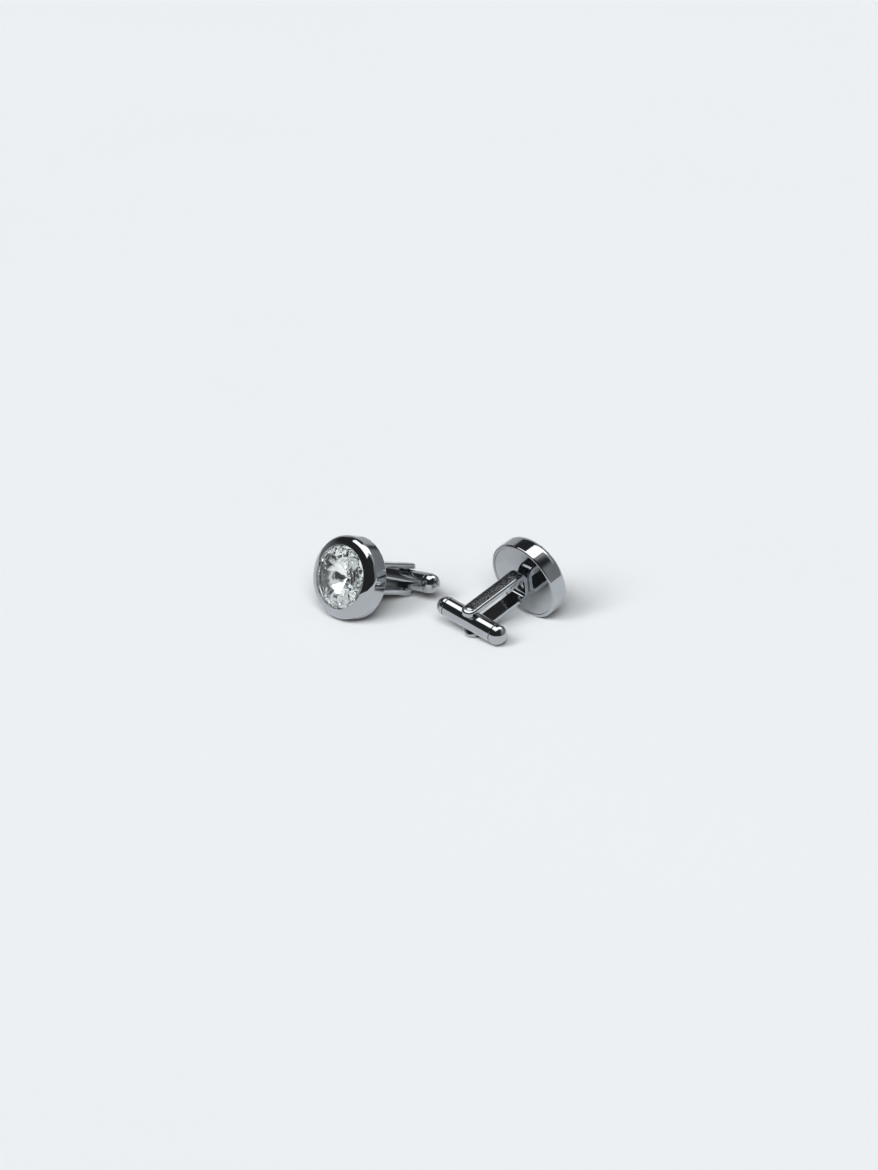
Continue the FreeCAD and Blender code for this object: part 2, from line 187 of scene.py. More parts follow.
def dome(half_width, base, rise):
    """Corners of a shallow dome from its rim to its middle, on the side that rise points to."""
    radius = (half_width ** 2 + rise ** 2) / (2 * abs(rise))
    widest = math.asin(half_width / radius)
    steps = max(2, math.ceil(widest / ARC_STEP))
    way = math.copysign(1, rise)
    corners = []
    for step in range(steps + 1):
        angle = widest * (1 - step / steps)
        height = base + rise - way * radius * (1 - math.cos(angle))
        corners.append((radius * math.sin(angle), height, 0))
    return corners


def spin(corners, closed, segments):
    """Points, normals and faces of an outline turned round the third axis."""
    line = soften(corners, closed)
    points = []
    normals = []
    rings = []
    for place, normal in line:
        if place.x < TINY:
            rings.append([len(points)] * segments)
            points.append(Vector((0, 0, place.y)))
            normals.append(Vector((0, 0, normal.y)))
            continue
        rings.append(range(len(points), len(points) + segments))
        for step in range(segments):
            angle = math.tau * step / segments
            around = Vector((math.cos(angle), math.sin(angle), 0))
            points.append(around * place.x + Vector((0, 0, place.y)))
            normals.append(around * normal.x + Vector((0, 0, normal.y)))
    onward_rings = rings[1:] + rings[:1] if closed else rings[1:]
    faces = []
    for low, high in zip(rings, onward_rings):
        faces += [list(dict.fromkeys(face)) for face in band(low, high)]
    return points, normals, faces


def joined(*parts):
    points = []
    normals = []
    faces = []
    for more_points, more_normals, more_faces in parts:
        start = len(points)
        points += more_points
        normals += more_normals
        faces += [[start + index for index in face] for face in more_faces]
    return points, normals, faces


def facing(shape, axes):
    """The same shape with its axes dealt out anew, so that it is turned round another one."""
    points, normals, faces = shape
    return [axes @ point for point in points], [axes @ normal for normal in normals], faces


ALONG_TOGGLE = Matrix(((0, 0, 1), (1, 0, 0), (0, 1, 0)))
ALONG_TOGGLE_BACK = Matrix.Rotation(math.pi, 3, "Z") @ ALONG_TOGGLE
ALONG_PIN = Matrix(((0, 1, 0), (0, 0, 1), (1, 0, 0)))


def closed_mesh(name, points, faces):
    """Mesh of a closed surface, with all its faces turned outwards."""
    mesh = bpy.data.meshes.new(name)
    mesh.from_pydata(points, [], faces)
    shell = bmesh.new()
    shell.from_mesh(mesh)
    bmesh.ops.recalc_face_normals(shell, faces=shell.faces)
    shell.to_mesh(mesh)
    shell.free()
    return mesh


def add_piece(name, shape, place, body, node, materials, local=None):
    """Makes a shown piece from a shape in a cufflink's frame, in place of the node it stands for. Its
    material follows the local places, or else its places in that frame."""
    points, normals, faces = shape
    mesh = closed_mesh(name, [place @ point for point in points], faces)
    if normals:
        mesh.shade_smooth()
        turn = place.to_3x3().normalized()
        mesh.normals_split_custom_set_from_vertices([(turn @ normal).normalized() for normal in normals])
    own = mesh.attributes.new("own_place", "FLOAT_VECTOR", "POINT")
    for index, point in enumerate(local or points):
        own.data[index].vector = point
    for material in materials:
        mesh.materials.append(material)
    piece = bpy.data.objects.new(name, mesh)
    scene.collection.objects.link(piece)
    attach(piece, body)
    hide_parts(node)
    return piece


# Shapes of the pieces

def lip_bow():
    """Corners of the bezel's bowed lip, from the mouth to where it runs into the round shoulder."""
    reach = FACE_RADIUS - BEZEL_ROUND * (1 - math.sin(LIP_END))
    depth = BEZEL_FRONT + BEZEL_ROUND * (1 - math.cos(LIP_END))
    radius = (reach - MOUTH_RADIUS) / (math.sin(LIP_END) - math.sin(LIP_TILT))
    steps = math.ceil((LIP_END - LIP_TILT) / ARC_STEP) * BEZEL_FINENESS
    corners = []
    for step in range(steps):
        angle = LIP_TILT + (LIP_END - LIP_TILT) * step / steps
        across = reach - radius * (math.sin(LIP_END) - math.sin(angle))
        along = depth + radius * (math.cos(LIP_END) - math.cos(angle))
        corners.append((across, along, 0 if step else SOFT_EDGE / 2))
    return corners


def shoulder():
    """Corners of the bezel's round shoulder, from the lip to the wall."""
    steps = math.ceil((math.pi / 2 - LIP_END) / ARC_STEP) * BEZEL_FINENESS
    corners = []
    for step in range(steps + 1):
        angle = LIP_END + (math.pi / 2 - LIP_END) * step / steps
        across = FACE_RADIUS - BEZEL_ROUND * (1 - math.sin(angle))
        corners.append((across, BEZEL_FRONT + BEZEL_ROUND * (1 - math.cos(angle)), 0))
    return corners


def bezel_shape():
    corners = [
        (PLATE_RADIUS, RIM_PROUD, SOFT_EDGE),
        (PLATE_RADIUS, PLATE_INSIDE, HIDDEN_EDGE),
        (SEAT_RADIUS, PLATE_INSIDE, HIDDEN_EDGE),
        (SEAT_RADIUS, SEAT_FOOT, HIDDEN_EDGE),
        (MOUTH_RADIUS, MOUTH_FOOT, HIDDEN_EDGE),
    ] + lip_bow() + shoulder() + [(FACE_RADIUS, RIM_PROUD, RIM_ROUND)]
    return spin(corners, True, WIDE_ROUND)


def plate_shape():
    corners = [
        (RIVET_RADIUS, 0, HIDDEN_EDGE),
        (RIVET_RADIUS, PLATE_INSIDE + RIVET_FLARE, HIDDEN_EDGE),
        (RIVET_RADIUS + RIVET_FLARE, PLATE_INSIDE, HIDDEN_EDGE),
        (PLATE_RADIUS, PLATE_INSIDE, HIDDEN_EDGE),
        (PLATE_RADIUS, 0, SEAM_EDGE),
    ]
    return spin(corners, True, WIDE_ROUND)


def rivet_shape():
    corners = [
        (0, PLATE_INSIDE, 0),
        (RIVET_RADIUS + RIVET_FLARE, PLATE_INSIDE, HIDDEN_EDGE),
        (RIVET_RADIUS, PLATE_INSIDE + RIVET_FLARE, HIDDEN_EDGE),
        (RIVET_RADIUS, STRAP_THICKNESS, HIDDEN_EDGE),
        (RIVET_HEAD, STRAP_THICKNESS, HIDDEN_EDGE),
    ]
    return spin(corners + dome(RIVET_HEAD, STRAP_THICKNESS, RIVET_RISE)[1:], False, SLIM_ROUND)


def pin_shape():
    """Domed head, round ends in the arms and a square between them inside the barrel, with its places on the
    flat strap, so that its upper end is worn together with the arm it is flush with."""
    square_end = BORE_RADIUS - PIN_CLEARANCE
    head = dome(PIN_HEAD, -ARM_OUTSIDE, -PIN_HEAD_RISE)[::-1]
    lower = head[:-1] + [
        (PIN_HEAD, -ARM_OUTSIDE, HIDDEN_EDGE),
        (PIN_RADIUS, -ARM_OUTSIDE, HIDDEN_EDGE),
        (PIN_RADIUS, -square_end, HIDDEN_EDGE),
        (0, -square_end, 0),
    ]
    upper = [
        (0, square_end, 0),
        (PIN_RADIUS, square_end, HIDDEN_EDGE),
        (PIN_RADIUS, ARM_OUTSIDE, FLUSH_EDGE),
    ] + dome(PIN_RADIUS, ARM_OUTSIDE, PIN_END_RISE)[1:]
    square = spin([
        (0, -square_end, 0),
        (CAM_HALF * math.sqrt(2), -square_end, HIDDEN_EDGE),
        (CAM_HALF * math.sqrt(2), square_end, HIDDEN_EDGE),
        (0, square_end, 0),
    ], False, 4)
    pin = facing(joined(spin(lower, False, SLIM_ROUND), spin(upper, False, SLIM_ROUND), square), ALONG_PIN)
    spots = [Vector((point.x, HOLE_ALONG + point.z, ARM_OUTSIDE - point.y)) for point in pin[0]]
    return pin, spots


def cap_shape(axes):
    corners = [
        (0, SPIGOT_END, 0),
        (BORE_RADIUS, SPIGOT_END, HIDDEN_EDGE),
        (BORE_RADIUS, BARREL_HALF, HIDDEN_EDGE),
        (TOGGLE_RADIUS, BARREL_HALF, SEAM_EDGE),
        (TOGGLE_RADIUS, TOGGLE_HALF, TOGGLE_RADIUS),
        (0, TOGGLE_HALF, 0),
    ]
    return facing(spin(corners, False, SLIM_ROUND), axes)


def barrel_shape():
    """Tube, still without its cross hole."""
    end = BARREL_HALF - SEAM_GAP
    corners = [
        (BORE_RADIUS, -end, HIDDEN_EDGE),
        (TOGGLE_RADIUS, -end, SEAM_EDGE),
        (TOGGLE_RADIUS, end, SEAM_EDGE),
        (BORE_RADIUS, end, HIDDEN_EDGE),
    ]
    return facing(spin(corners, True, SLIM_ROUND), ALONG_TOGGLE)


def drill_barrel(barrel, place):
    """Cuts the hole for the pin through both walls and smooths each surface on its own."""
    radius = PIN_RADIUS + PIN_CLEARANCE
    reach = TOGGLE_RADIUS * 2
    corners = [(0, -reach, 0), (radius, -reach, 0), (radius, reach, 0), (0, reach, 0)]
    points, _, faces = facing(spin(corners, False, SLIM_ROUND), ALONG_PIN)
    drill = bpy.data.objects.new("drill", closed_mesh("drill", [place @ point for point in points], faces))
    scene.collection.objects.link(drill)
    cut = barrel.modifiers.new("cross_hole", "BOOLEAN")
    cut.object = drill
    cut.solver = "EXACT"
    shown = bpy.context.evaluated_depsgraph_get()
    drilled = bpy.data.meshes.new_from_object(barrel.evaluated_get(shown))
    barrel.modifiers.remove(cut)
    bpy.data.objects.remove(drill)
    barrel.data = drilled
    home = place.inverted()
    turn = place.to_3x3().normalized()
    own = drilled.attributes["own_place"]
    for vertex in drilled.vertices:
        own.data[vertex.index].vector = home @ vertex.co
    normals = []
    for face in drilled.polygons:
        flat = turn.inverted() @ face.normal
        for corner in face.vertices:
            normals.append(turn @ barrel_normal(home @ drilled.vertices[corner].co, flat))
    drilled.normals_split_custom_set(normals)


def barrel_normal(spot, flat):
    """Normal at a spot of that one of the barrel's true surfaces whose normal is nearest to flat."""
    out = Vector((0, spot.y, spot.z)).normalized()
    seam = BARREL_HALF - SEAM_GAP - SEAM_EDGE
    past = max(abs(spot.x) - seam, 0)
    along = Vector((math.copysign(min(past / SEAM_EDGE, 1), spot.x), 0, 0))
    edge = along + out * math.sqrt(max(1 - along.length_squared, 0))
    into_hole = -Vector((spot.x, 0, spot.z)).normalized()

    def nearness(normal):
        return normal.dot(flat) - (FLAT_HANDICAP if normal is flat else 0)

    return max((edge, -out, into_hole, flat), key=nearness)


# The strap is laid out flat (across, along, depth below its outer face) and then bent into its U.
BEND_LENGTH = BEND_OUTSIDE * math.pi / 2
HOLE_ALONG = WEB_HALF + BEND_LENGTH + PIVOT_REACH - BEND_OUTSIDE
TIP_ALONG = HOLE_ALONG + TIP_REACH - STRAP_HALF
HOLE_CELL = 1.85


def bent(across, along, depth):
    """Place on the U of a spot on the flat strap, with the ways that along and depth then point."""
    reach = abs(along)
    way = math.copysign(1, along)
    angle = min(max(reach - WEB_HALF, 0) / BEND_OUTSIDE, math.pi / 2)
    out = min(reach, WEB_HALF) + (BEND_OUTSIDE - depth) * math.sin(angle)
    up = BEND_OUTSIDE - (BEND_OUTSIDE - depth) * math.cos(angle) + max(reach - WEB_HALF - BEND_LENGTH, 0)
    ahead = Vector((0, math.cos(angle), way * math.sin(angle)))
    inward = Vector((0, -way * math.sin(angle), math.cos(angle)))
    return Vector((across, way * out, up)), ahead, inward


def strap_rows():
    """Places along the strap where it needs a row: the holes' cells and close steps round the bends."""
    rows = {0.0, WEB_HALF, HOLE_ALONG - HOLE_CELL, TIP_ALONG}
    rows |= {WEB_HALF + BEND_LENGTH * step / BEND_STEPS for step in range(BEND_STEPS + 1)}
    return sorted(rows | {-row for row in rows})


def edge_section():
    """The strap's edge from its inner to its outer face, which is slightly crowned: inset, depth and the
    normal's two shares."""
    angles = [math.pi / 2 * step / EDGE_STEPS for step in range(EDGE_STEPS + 1)]
    section = []
    for angle in angles:
        sine = math.sin(angle)
        cosine = math.cos(angle)
        section.append((SOFT_EDGE * (1 - sine), STRAP_THICKNESS - SOFT_EDGE * (1 - cosine), sine, cosine))
    for angle in angles:
        inset = STRAP_ROUND * (1 - math.cos(angle))
        depth = STRAP_ROUND * (1 - math.sin(angle))
        lean = angle * (1 - CROWN_TILT / (math.pi / 2))
        section.append((inset, depth, math.cos(lean), -math.sin(lean)))
    return section


def fill_round(outer, inner, spots, middle):
    """Triangles between a ring of points and the ring round a hole, both walked by their angle."""
    def angle_of(index):
        across, along, _ = spots[index]
        return math.atan2(along - middle, across)

    outer = sorted(outer, key=angle_of)
    inner = sorted(inner, key=angle_of)
    faces = []
    out_step = 0
    in_step = 0
    while out_step < len(outer) or in_step < len(inner):
        out_here = outer[out_step % len(outer)]
        in_here = inner[in_step % len(inner)]
        out_next = outer[(out_step + 1) % len(outer)]
        in_next = inner[(in_step + 1) % len(inner)]
        out_angle = angle_of(out_next) + math.tau * ((out_step + 1) // len(outer))
        in_angle = angle_of(in_next) + math.tau * ((in_step + 1) // len(inner))
        if in_step >= len(inner) or (out_step < len(outer) and out_angle < in_angle):
            faces.append([out_here, out_next, in_here])
            out_step += 1
        else:
            faces.append([out_here, in_next, in_here])
            in_step += 1
    return faces


def strap_stations(rows):
    """A walk round the flat strap: the place of its middle line and the way out from it, at each step."""
    round_tip = [math.pi * step / TIP_STEPS for step in range(1, TIP_STEPS)]
    stations = [(row, 0.0) for row in rows]
    stations += [(TIP_ALONG, angle) for angle in round_tip]
    stations += [(row, math.pi) for row in reversed(rows)]
    stations += [(-TIP_ALONG, math.pi + angle) for angle in round_tip]
    return stations


def add_hole_ring(spots, turns, place, reach, out_share, depth_share):
    """Adds a ring of points round a hole, at a place along and below the strap's outer face."""
    start = len(spots)
    for step in range(SLIM_ROUND):
        angle = math.tau * step / SLIM_ROUND
        out = Vector((math.cos(angle), math.sin(angle), 0))
        crown = 0
        if depth_share < 0:
            crown = math.tan(CROWN_TILT) * out.x * reach / (STRAP_HALF - STRAP_ROUND)
        spots.append(out * reach + Vector((0, *place)))
        turns.append(out * out_share + Vector((crown, 0, depth_share)))
    return range(start, start + SLIM_ROUND)


def plain_cells(rows, first, holes):
    """Faces across one side of the strap, between its rows, where it has no hole."""
    faces = []
    last = first + 2 * len(rows) + TIP_STEPS - 2
    for step, (row, onward) in enumerate(zip(rows, rows[1:])):
        centre = (row + onward) / 2
        if any(low < centre < high for _, _, low, high in holes):
            continue
        right = first + step
        left = last - step
        faces.append([right, right + 1, left - 1, left])
    return faces


def fork_shape():
    """The bent strap with its round tips, eased edges and three holes, and its places on the flat strap."""
    rows = strap_rows()
    stations = strap_stations(rows)
    section = edge_section()
    count = len(stations)
    spots = []
    turns = []
    for inset, depth, out_share, depth_share in section:
        for middle, angle in stations:
            out = Vector((math.cos(angle), math.sin(angle), 0))
            spots.append(out * (STRAP_HALF - inset) + Vector((0, middle, depth)))
            turns.append(out * out_share + Vector((0, 0, depth_share)))
    rings = [range(level * count, (level + 1) * count) for level in range(len(section))]
    faces = []
    for low, high in zip(rings, rings[1:]):
        faces += band(low, high)
    holes = [
        (HOLE_ALONG, PIN_RADIUS, HOLE_ALONG - HOLE_CELL, math.inf),
        (-HOLE_ALONG, PIN_RADIUS, -math.inf, HOLE_CELL - HOLE_ALONG),
        (0.0, RIVET_RADIUS, -WEB_HALF, WEB_HALF),
    ]
    wall_rings = {hole: [] for hole in holes}
    for ring, depth, way in ((rings[0], STRAP_THICKNESS, 1), (rings[-1], 0.0, -1)):
        for hole in holes:
            middle, radius, low, high = hole
            eased = depth - FLUSH_EDGE * way
            face_ring = add_hole_ring(spots, turns, (middle, depth), radius + FLUSH_EDGE, 0, way)
            wall_ring = add_hole_ring(spots, turns, (middle, eased), radius, -1, 0)
            wall_rings[hole] += [face_ring, wall_ring]
            around = [index for index in ring if low - TINY <= spots[index].y <= high + TINY]
            faces += fill_round(around, list(face_ring), spots, middle)
        faces += plain_cells(rows, ring[0], holes)
    for inner_face, inner_wall, outer_face, outer_wall in wall_rings.values():
        faces += band(inner_face, inner_wall) + band(inner_wall, outer_wall) + band(outer_wall, outer_face)
    points = []
    normals = []
    for spot, turn in zip(spots, turns):
        point, ahead, inward = bent(*spot)
        points.append(point)
        normals.append(Vector((turn.x, 0, 0)) + ahead * turn.y + inward * turn.z)
    return (points, normals, faces), spots


def crystal_planes():
    """Outward normal and distance of every flat of the crystal, and whether foil lies behind it."""
    step = math.tau / FACET_COUNT
    ridge_share = math.cos(step / 2)
    planes = []

    def add(slope, height, way, angle, foiled):
        normal = Vector((slope * math.cos(angle), slope * math.sin(angle), way))
        reach = height * way / normal.length
        planes.append((normal.normalized(), reach, foiled))

    for height, edge, way in ((CROWN_HEIGHT, EDGE_FRONT, -1), (PAVILION_DEPTH, EDGE_BACK, 1)):
        tip = edge + height * way
        slope = height / CRYSTAL_RADIUS
        inner = CRYSTAL_RADIUS - BREAK_LENGTH
        inner_height = tip - way * inner * ridge_share * slope
        break_slope = (inner_height - edge + BREAK_DROP * way) * way / BREAK_LENGTH
        break_tip = inner_height + way * inner * break_slope
        for facet in range(FACET_COUNT):
            add(slope, tip, way, step * facet, way > 0)
            add(break_slope, break_tip, way, step * (facet + 0.5), way > 0)
        planes.append((Vector((0, 0, way)), tip * way - POINT_FLAT, way > 0))
    for side in range(SLIM_ROUND):
        angle = math.tau * side / SLIM_ROUND
        planes.append((Vector((math.cos(angle), math.sin(angle), 0)), CRYSTAL_RADIUS, False))
    return planes


def clipped_flat(plane, planes):
    """The part of a plane that lies inside all the others, as a polygon."""
    normal, reach, _ = plane
    aside = normal.orthogonal().normalized() * CRYSTAL_RADIUS * 2
    onward = normal.cross(aside)
    middle = normal * reach
    polygon = [
        middle - aside - onward,
        middle + aside - onward,
        middle + aside + onward,
        middle - aside + onward,
    ]
    for other in planes:
        if other is plane:
            continue
        kept = []
        for index, corner in enumerate(polygon):
            before = polygon[index - 1]
            before_past = other[0].dot(before) - other[1]
            past = other[0].dot(corner) - other[1]
            if (before_past > 0) != (past > 0):
                kept.append(before.lerp(corner, before_past / (before_past - past)))
            if past <= 0:
                kept.append(corner)
        polygon = kept
        if not polygon:
            break
    return polygon


def crystal_shape():
    """Welded flats of the crystal, and for each face whether foil lies behind it."""
    planes = crystal_planes()
    points = []
    faces = []
    foiled = []
    for plane in planes:
        face = []
        for corner in clipped_flat(plane, planes):
            near = [index for index, point in enumerate(points) if (point - corner).length < WELD]
            if not near:
                near = [len(points)]
                points.append(corner)
            if near[0] not in face:
                face.append(near[0])
        if len(face) > 2:
            faces.append(face)
            foiled.append(plane[2])
    return (points, None, faces), foiled


# Looks. A colour is a pair that soft clouds blend between, a roughness or range goes from its least to its
# most, and a noise's scale counts its waves in a millimetre, or in a metre on the spring and the table.
SOFT_DETAIL = 2
CLOUD_DETAIL = 3
GRAIN_DETAIL = 4
NOISE_LOW = 0.3
NOISE_MIDDLE = 0.5
NOISE_HIGH = 0.7

GUNMETAL = ((0.42, 0.44, 0.46), (0.48, 0.50, 0.52))
GUNMETAL_CLOUDS = 0.35
POLISH_GRAIN = 3.0
POLISH_ROUGHNESS = (0.02, 0.06)
SCRATCH_STRETCH = (0.9, 4.0, 2.2)
SCRATCH_WIDTH = 0.012
SCRATCH_ROUGHNESS = 0.12
WAVE_SCALE = 1.2
WAVE_STRENGTH = 0.05
WAVE_DEPTH = 0.02 * MM

WEAR_STRETCH = (14, 1.5, 1)
WEAR_ROUGHNESS = (0.03, 0.24)
WEAR_RANGE = (0.42, 0.72)
WEAR_DEPTHS = (0.05, 0.3)

STEEL = ((0.38, 0.39, 0.41), (0.46, 0.47, 0.49))
STEEL_CLOUDS = 900
STEEL_GRAIN = 4000
STEEL_ROUGHNESS = (0.22, 0.4)

GLASS_TINT = ((0.98, 0.99, 0.985), (1, 1, 1))
GLASS_CLOUDS = 0.5
GLASS_GRAIN = 1.5
GLASS_ROUGHNESS = (0.0, 0.02)
GLASS_IOR = 1.56

SILVER = ((0.95, 0.965, 0.96), (0.985, 0.995, 0.99))
SILVER_CLOUDS = 0.8
SILVER_GRAIN = 2.5
SILVER_ROUGHNESS = (0.0, 0.03)

TABLE = ((0.835, 0.868, 0.892), (0.845, 0.878, 0.902))
TABLE_CLOUDS = 6
TABLE_ROUGHNESS = 0.9
TABLE_SPECULAR = 0.1


# Node helpers

def new_material(name):
    material = bpy.data.materials.new(name)
    material.use_nodes = True
    tree = material.node_tree
    return material, tree, tree.nodes["Principled BSDF"]


def add_node(tree, kind, **settings):
    node = tree.nodes.new(kind)
    for key, value in settings.items():
        if key in node.inputs:
            node.inputs[key].default_value = value
        else:
            setattr(node, key, value)
    return node


def combine(tree, operation, first, second):
    """One value from two, by a sum, a product or the like."""
    result = add_node(tree, "ShaderNodeMath", operation=operation)
    tree.links.new(first, result.inputs[0])
    tree.links.new(second, result.inputs[1])
    return result.outputs[0]


def own_place(tree, stretch=(1, 1, 1)):
    """A piece's own coordinates in millimetres, scaled along each axis."""
    place = add_node(tree, "ShaderNodeAttribute", attribute_name="own_place")
    scaled = add_node(tree, "ShaderNodeVectorMath", operation="MULTIPLY")
    tree.links.new(place.outputs["Vector"], scaled.inputs[0])
    scaled.inputs[1].default_value = stretch
    return scaled.outputs["Vector"]


def noise(tree, place, scale, detail):
    texture = add_node(tree, "ShaderNodeTexNoise", Scale=scale, Detail=detail)
    tree.links.new(place, texture.inputs["Vector"])
    return texture.outputs["Fac"]


def spread(tree, value, low, high, start=NOISE_LOW, end=NOISE_HIGH):
    """Maps a value between start and end, as most of a noise is, onto low to high."""
    mapped = add_node(tree, "ShaderNodeMapRange")
    mapped.inputs["From Min"].default_value = start
    mapped.inputs["From Max"].default_value = end
    mapped.inputs["To Min"].default_value = low
    mapped.inputs["To Max"].default_value = high
    tree.links.new(value, mapped.inputs["Value"])
    return mapped.outputs["Result"]


def cloud_colour(tree, shader, place, scale, colours, detail=CLOUD_DETAIL):
    """Blends a shader's colour between two by soft clouds."""
    first, second = colours
    mix = add_node(tree, "ShaderNodeMix", data_type="RGBA")
    mix.inputs["A"].default_value = (*first, 1)
    mix.inputs["B"].default_value = (*second, 1)
    clouds = spread(tree, noise(tree, place, scale, detail), 0, 1)
    tree.links.new(clouds, mix.inputs["Factor"])
    tree.links.new(mix.outputs["Result"], shader.inputs["Base Color"])


def vary_roughness(tree, shader, place, scale, roughness, detail=CLOUD_DETAIL):
    """Lets a shader's roughness wander between its least and its most."""
    varied = spread(tree, noise(tree, place, scale, detail), *roughness)
    tree.links.new(varied, shader.inputs["Roughness"])


def hair_lines(tree):
    """Thin scratches: 1 along the crests of a drawn-out noise and 0 elsewhere."""
    drawn = noise(tree, own_place(tree, SCRATCH_STRETCH), 1.0, SOFT_DETAIL)
    crest = add_node(tree, "ShaderNodeMath", operation="SUBTRACT")
    tree.links.new(drawn, crest.inputs[0])
    crest.inputs[1].default_value = NOISE_MIDDLE
    height = add_node(tree, "ShaderNodeMath", operation="ABSOLUTE")
    tree.links.new(crest.outputs[0], height.inputs[0])
    return spread(tree, height.outputs[0], 1, 0, 0, SCRATCH_WIDTH)


# Materials

def plating(name):
    """Mirror plating with cloudy colour, thin scratches and faint waves. Its roughness is left to link."""
    material, tree, shader = new_material(name)
    place = own_place(tree)
    cloud_colour(tree, shader, place, GUNMETAL_CLOUDS, GUNMETAL)
    shader.inputs["Metallic"].default_value = 1
    polish = spread(tree, noise(tree, place, POLISH_GRAIN, GRAIN_DETAIL), *POLISH_ROUGHNESS)
    scratches = spread(tree, hair_lines(tree), 0, SCRATCH_ROUGHNESS, 0, 1)
    bump = add_node(tree, "ShaderNodeBump", Strength=WAVE_STRENGTH, Distance=WAVE_DEPTH)
    tree.links.new(noise(tree, place, WAVE_SCALE, SOFT_DETAIL), bump.inputs["Height"])
    tree.links.new(bump.outputs["Normal"], shader.inputs["Normal"])
    return material, tree, shader, combine(tree, "ADD", polish, scratches)


def plated_metal():
    material, tree, shader, roughness = plating("gunmetal_plate")
    tree.links.new(roughness, shader.inputs["Roughness"])
    return material


def strap_metal():
    """The same plating, worn matt in streaks along the strap's outer face."""
    material, tree, shader, roughness = plating("gunmetal_strap")
    depth = add_node(tree, "ShaderNodeSeparateXYZ")
    tree.links.new(own_place(tree), depth.inputs[0])
    outside = spread(tree, depth.outputs["Z"], 1, 0, *WEAR_DEPTHS)
    streaks = noise(tree, own_place(tree, WEAR_STRETCH), 1.0, GRAIN_DETAIL)
    worn = combine(tree, "MULTIPLY", outside, spread(tree, streaks, *WEAR_ROUGHNESS, *WEAR_RANGE))
    tree.links.new(combine(tree, "ADD", roughness, worn), shader.inputs["Roughness"])
    return material


def spring_steel():
    """Plain hardened strip, grained all over."""
    material, tree, shader = new_material("spring_steel")
    place = add_node(tree, "ShaderNodeTexCoord").outputs["Object"]
    cloud_colour(tree, shader, place, STEEL_CLOUDS, STEEL)
    vary_roughness(tree, shader, place, STEEL_GRAIN, STEEL_ROUGHNESS, GRAIN_DETAIL)
    shader.inputs["Metallic"].default_value = 1
    return material


def crystal_glass():
    material, tree, shader = new_material("crystal_glass")
    shader.inputs["Transmission Weight"].default_value = 1
    shader.inputs["IOR"].default_value = GLASS_IOR
    place = own_place(tree)
    cloud_colour(tree, shader, place, GLASS_CLOUDS, GLASS_TINT)
    vary_roughness(tree, shader, place, GLASS_GRAIN, GLASS_ROUGHNESS)
    return material


def silver_foil():
    material, tree, shader = new_material("silver_foil")
    place = own_place(tree)
    cloud_colour(tree, shader, place, SILVER_CLOUDS, SILVER)
    vary_roughness(tree, shader, place, SILVER_GRAIN, SILVER_ROUGHNESS)
    shader.inputs["Metallic"].default_value = 1
    return material


METAL = plated_metal()
STRAP_METAL = strap_metal()
SPRING = spring_steel()
GLASS = crystal_glass()
FOIL = silver_foil()


# The pair

def own_frames(side):
    """Placements of a cufflink's plate and pivot, read from its joint and its seat on the cuff."""
    joint = next(joint for joint in frame["joints"] if joint["name"] == side + "_toggle_swivel")
    seat = next(mount for mount in frame["record"]["mounts"] if mount["name"] == side + "_cuff_seat")
    pin = Vector(joint["axis"])
    post = Vector(seat["axis"])
    turn = Matrix((pin.cross(post), pin, post)).transposed().to_4x4()
    shrink = Matrix.Scale(MM, 4)
    pivot = Matrix.Translation(Vector(joint["pos_m"])) @ turn @ shrink
    plate = pivot @ Matrix.Translation((0, 0, -PIVOT_REACH))
    return plate, pivot


def add_pair():
    fork, strap_spots = fork_shape()
    pin, pin_spots = pin_shape()
    crystal, foiled = crystal_shape()
    fixed = (
        ("bezel", bezel_shape()),
        ("back_plate", plate_shape()),
        ("post_rivet", rivet_shape()),
    )
    turning = (
        ("toggle_barrel", barrel_shape()),
        ("end_cap_1", cap_shape(ALONG_TOGGLE)),
        ("end_cap_2", cap_shape(ALONG_TOGGLE_BACK)),
    )
    for side in ("left", "right"):
        plate, pivot = own_frames(side)
        face_body = side + "_cufflink"
        toggle_body = side + "_toggle"
        for name, shape in fixed:
            node = side + "_" + name
            add_piece(node + "_polished", shape, plate, face_body, node, [METAL])
        node = side + "_fork"
        worn = [STRAP_METAL]
        add_piece(node + "_polished", fork, plate, face_body, node, worn, strap_spots)
        node = side + "_pivot_pin"
        add_piece(node + "_polished", pin, pivot, face_body, node, worn, pin_spots)
        for name, shape in turning:
            node = side + "_" + name
            piece = add_piece(node + "_polished", shape, pivot, toggle_body, node, [METAL])
            if name == "toggle_barrel":
                drill_barrel(piece, pivot)
        node = side + "_crystal"
        stone = add_piece(node + "_faceted", crystal, plate, face_body, node, [GLASS, FOIL])
        for face, behind in zip(stone.data.polygons, foiled):
            face.material_index = int(behind)
        frame["nodes"][side + "_click_spring"].material_slots[0].material = SPRING


add_pair()


# Stage: floor, surroundings, lamps and camera. Directions are in degrees: azimuth 0 is away from the viewer
# and 90 to the right.
FLOOR_SIZE = 40

# Soft lights for the table: their directions and shares of a full level of light. The rest of it is even.
KEY_WIDTH = math.radians(30)
FRONT_LIGHT = (-180, 37)
FRONT_SHARE = 0.55
LEFT_LIGHT = (-140, 38)
LEFT_SHARE = 0.4
EVEN_SHARE = 1 - FRONT_SHARE - LEFT_SHARE
EVEN_COLOUR = (1, 1, 1, 1)
BACKDROP_COLOUR = (0.86, 0.89, 0.915, 1)

# Level lamps that the metal mirrors: start and end along their heading, left and right side, in lamp heights.
LAMP_HEIGHT = 4.0
LAMP_HEADING = 55
LAMP_GLOW = 2.2
NEAR_LAMP = (-0.56, 0.16, -0.62, 0.36)
FAR_LAMP = (0.16, 1.1, -0.24, 0.24)

